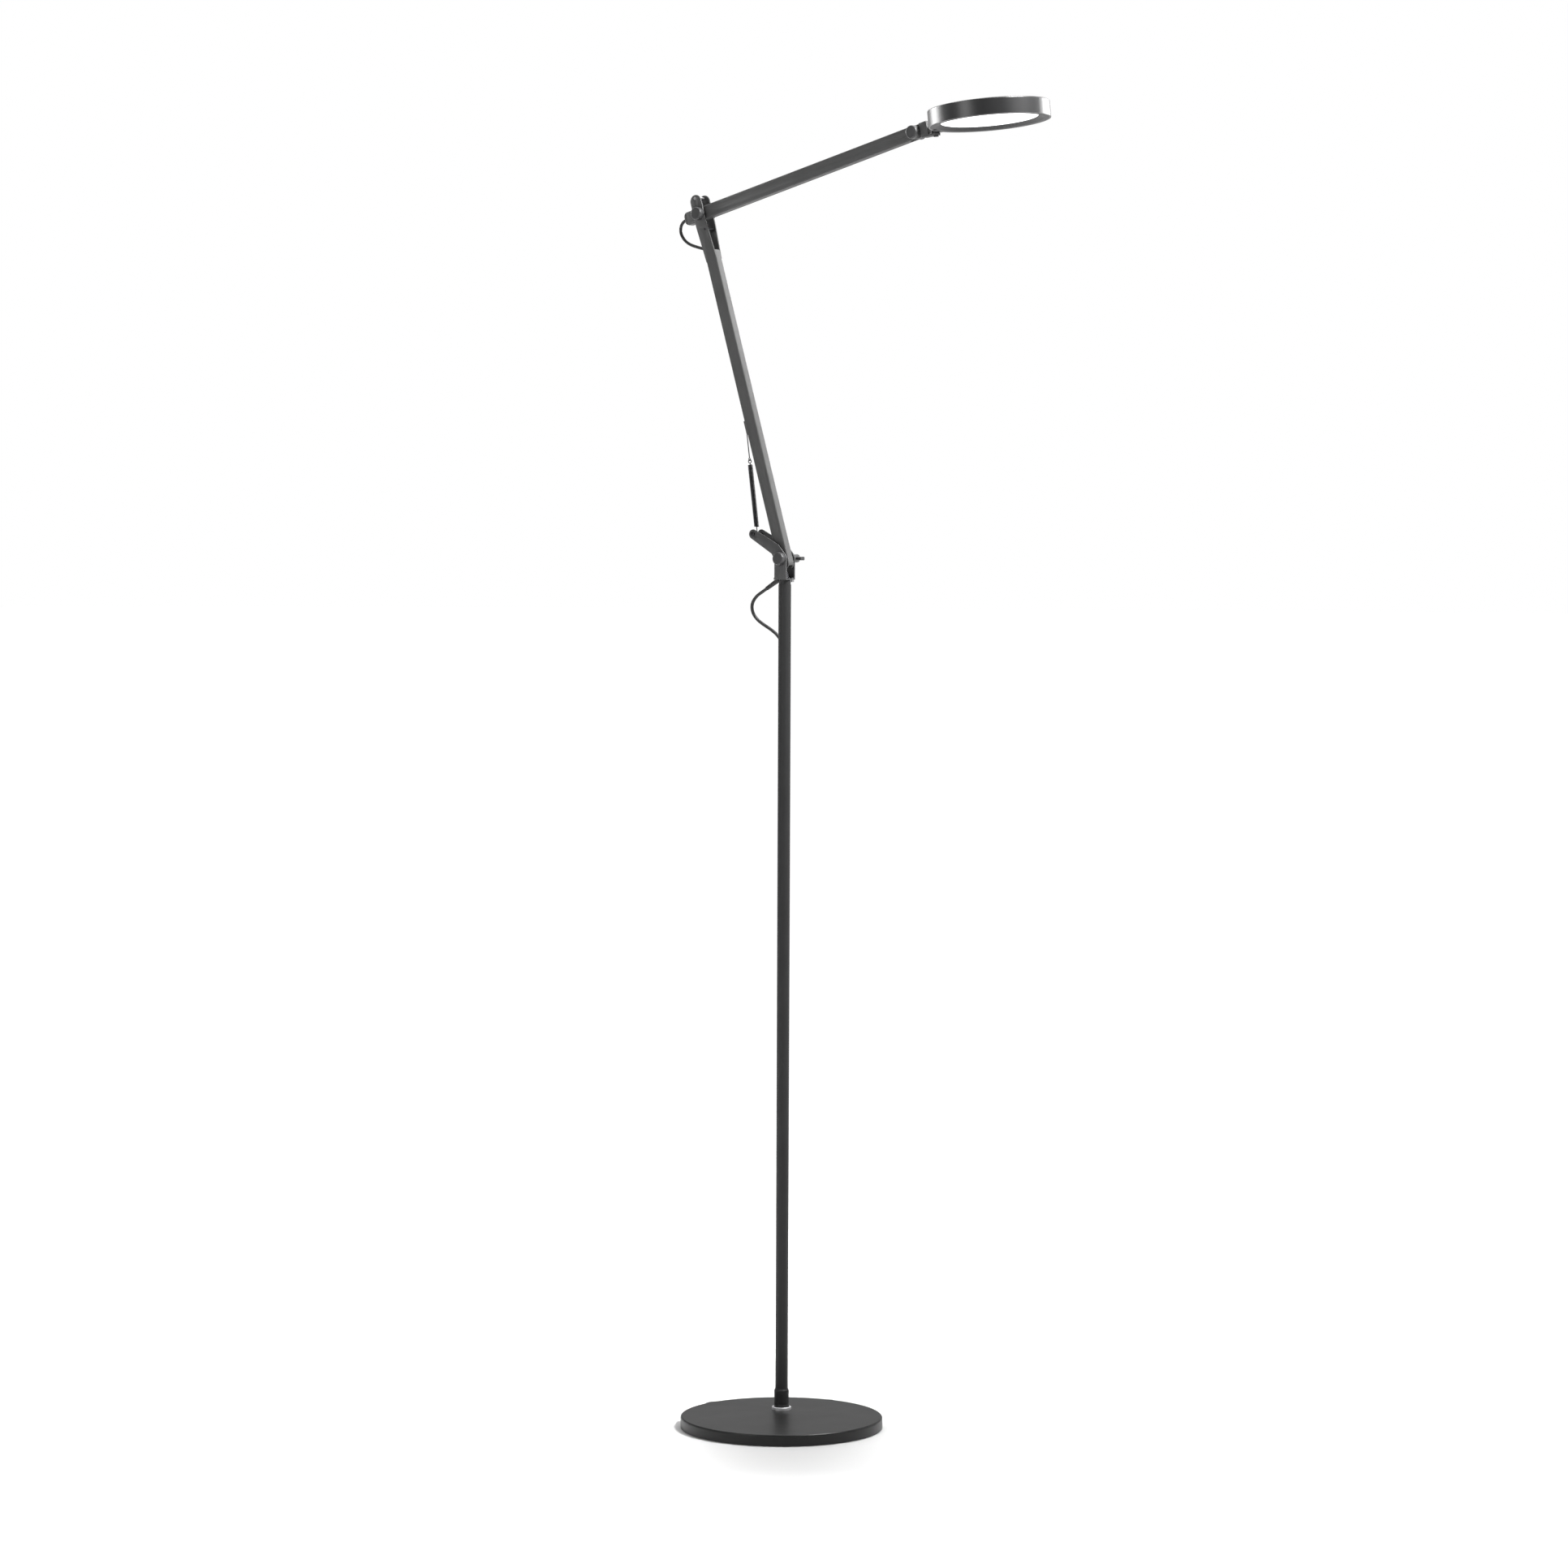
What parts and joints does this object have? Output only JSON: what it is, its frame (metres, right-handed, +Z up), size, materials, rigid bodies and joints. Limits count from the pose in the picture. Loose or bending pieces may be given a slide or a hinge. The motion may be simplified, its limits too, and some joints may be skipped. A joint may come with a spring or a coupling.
{
  "type": "adjustable arm floor lamp",
  "caption": "Floor lamp with a round weighted base, a slim pole, a swivel bracket with a balance spring, a hinged lower and upper arm, and a flat round tilting LED head.",
  "frame": {"origin": "foot of the pole's axis, on the floor, under the weighted base", "axes": "+Z up along the pole; the arms swing in the XZ plane with the head toward +X; the hinge axes lie along Y"},
  "size_m": [0.5596, 0.2792, 1.656],
  "materials": {
    "powder_black": "fine matte powder coat",
    "arm_black": "fine matte powder coat",
    "cap_black": "satin moulded",
    "zinc": "zinc plated",
    "dark_steel": "black oxide",
    "rubber_black": "matte",
    "brass": "polished",
    "head_black": "satin gloss",
    "bezel_grey": "satin moulded",
    "opal": "opal diffuser",
    "board_white": "white solder mask",
    "led_yellow": "phosphor",
    "aluminium": "plain sheet",
    "board_green": "circuit board"
  },
  "bodies": {
    "root": {"base_plate": "powder_black", "base_pad": "rubber_black", "base_bolt": "zinc", "foot_washer": "zinc", "pole_collar": "powder_black", "pole_tube": "powder_black", "pole_foot_plug": "zinc", "pole_top_plug": "cap_black", "swivel_stud": "zinc", "swivel_bush": "cap_black", "swivel_nut": "dark_steel", "cord_clips": "cap_black", "cord_loop": "rubber_black", "cord_drop": "rubber_black", "cord_coil": "rubber_black", "cord_tail": "rubber_black", "cord_ties": "rubber_black", "plug_body": "rubber_black", "plug_blades": "brass"},
    "bracket": {"bracket": "powder_black", "bracket_rivet": "zinc", "lever_pin": "dark_steel", "shoulder_bolt": "zinc", "shoulder_cap": "cap_black", "clamp_washer": "cap_black", "cord_gland": "rubber_black"},
    "clamp_knob": {"clamp_knob": "cap_black"},
    "balance": {"balance_spring": "dark_steel", "balance_wire": "dark_steel"},
    "lower_arm": {"lower_arm": "arm_black", "lower_arm_block": "cap_black", "wire_guide": "arm_black", "fork_spacer": "dark_steel", "fork_stop_pin": "zinc", "elbow_bolt": "zinc", "elbow_caps": "cap_black", "shoulder_washers": "rubber_black", "elbow_washers": "rubber_black", "lower_arm_lead": "rubber_black", "elbow_lead": "rubber_black"},
    "upper_arm": {"upper_arm": "arm_black", "upper_arm_end_cap": "cap_black", "upper_arm_bush": "rubber_black", "upper_arm_lead": "rubber_black", "tilt_pin": "zinc", "tilt_caps": "cap_black"},
    "neck": {"neck": "arm_black", "pan_washer": "rubber_black"},
    "head": {"head_housing": "head_black", "head_bezel": "bezel_grey", "diffuser": "opal", "led_board": "board_white", "leds": "led_yellow", "heat_plate": "aluminium", "driver_board": "board_green", "plate_screws": "zinc", "button_switch": "board_green", "pan_screw": "dark_steel"},
    "power_button": {"power_button": "bezel_grey"}
  },
  "joints": [
    {"name": "arm_swivel", "type": "hinge", "parent": "root", "child": "bracket", "pos_m": [0, 0, 1.069], "axis": [0, 0, 1], "range_deg": [-160, 160], "deforming": ["cord_loop"]},
    {"name": "shoulder", "type": "hinge", "parent": "bracket", "child": "lower_arm", "pos_m": [0, 0, 1.0955], "axis": [0, 1, 0], "range_deg": [-14, 38]},
    {"name": "spring_swing", "type": "hinge", "parent": "bracket", "child": "balance", "pos_m": [-0.0443, 0, 1.1258], "axis": [0, 1, 0], "range_deg": [-17, 46]},
    {"name": "clamp_turn", "type": "hinge", "parent": "bracket", "child": "clamp_knob", "pos_m": [0, 0.0163, 1.0955], "axis": [0, 1, 0], "range_deg": [-20, 180]},
    {"name": "elbow", "type": "hinge", "parent": "lower_arm", "child": "upper_arm", "pos_m": [-0.13393, 0, 1.53086], "axis": [0, 1, 0], "range_deg": [-60, 48], "deforming": ["elbow_lead"]},
    {"name": "head_tilt", "type": "hinge", "parent": "upper_arm", "child": "neck", "pos_m": [0.20188, 0, 1.62022], "axis": [0, 1, 0], "range_deg": [-60, 75]},
    {"name": "head_pan", "type": "hinge", "parent": "neck", "child": "head", "pos_m": [0.23166, 0, 1.61858], "axis": [-0.1132, 0, 0.9936], "range_deg": [-70, 70]},
    {"name": "button_press", "type": "slide", "parent": "head", "child": "power_button", "axis": [-0.1132, 0, 0.9936], "range_m": [0, 0.0008], "stiffness_N_per_m": 300}
  ],
  "couplings": [
    {"joint": "spring_swing", "follows": "shoulder", "ratio": 1.2}
  ]
}
